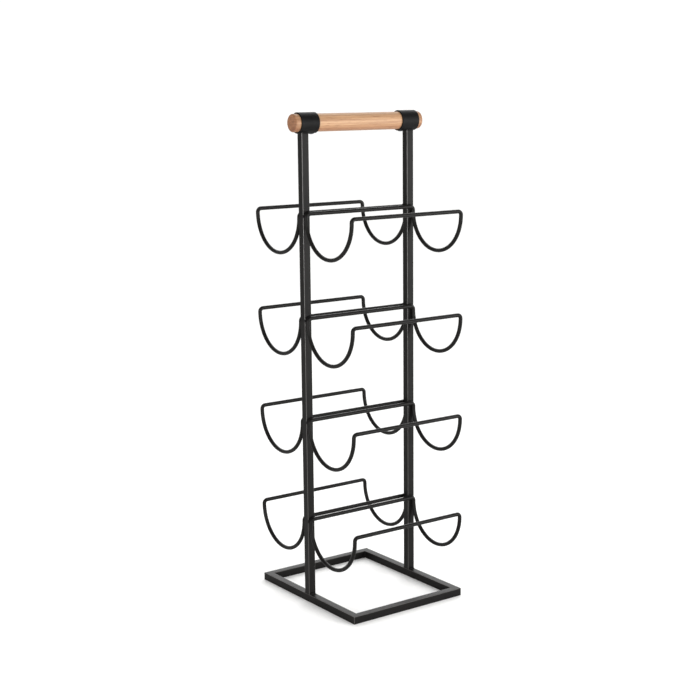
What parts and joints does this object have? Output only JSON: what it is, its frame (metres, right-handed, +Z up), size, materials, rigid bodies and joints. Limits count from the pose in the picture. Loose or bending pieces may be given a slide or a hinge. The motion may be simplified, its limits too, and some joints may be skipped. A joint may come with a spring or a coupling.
{
  "type": "wine rack",
  "caption": "Free-standing wine rack with a square-tube base frame, slim posts, bent-wire bottle cradles on each side and a round wooden carrying handle on top.",
  "frame": {"origin": "centre of the base frame's underside, on the floor", "axes": "+X across the rack from the left cradles to the right cradles, +Y along the bottles and the handle from the front post to the rear post, +Z up"},
  "size_m": [0.21, 0.192, 0.6172],
  "materials": {
    "black_steel": "satin black powder coat",
    "weld_bead": "black powder coat over a hand-laid weld bead",
    "black_screw": "black oxide",
    "handle_wood": "oiled, light brown, with darker end grain"
  },
  "bodies": {
    "root": {"base_bar_front": "black_steel", "base_bar_rear": "black_steel", "base_bar_left": "black_steel", "base_bar_right": "black_steel", "post_front": "black_steel", "post_rear": "black_steel", "cradle_bottom_left": "black_steel", "cradle_bottom_right": "black_steel", "cradle_lower_left": "black_steel", "cradle_lower_right": "black_steel", "cradle_upper_left": "black_steel", "cradle_upper_right": "black_steel", "cradle_top_left": "black_steel", "cradle_top_right": "black_steel", "collar_front": "black_steel", "collar_rear": "black_steel", "handle_dowel": "handle_wood", "handle_screws": "black_screw", "base_corner_welds": "weld_bead", "post_foot_welds": "weld_bead", "collar_welds": "weld_bead", "cradle_welds_bottom": "weld_bead", "cradle_welds_lower": "weld_bead", "cradle_welds_upper": "weld_bead", "cradle_welds_top": "weld_bead"}
  },
  "joints": []
}
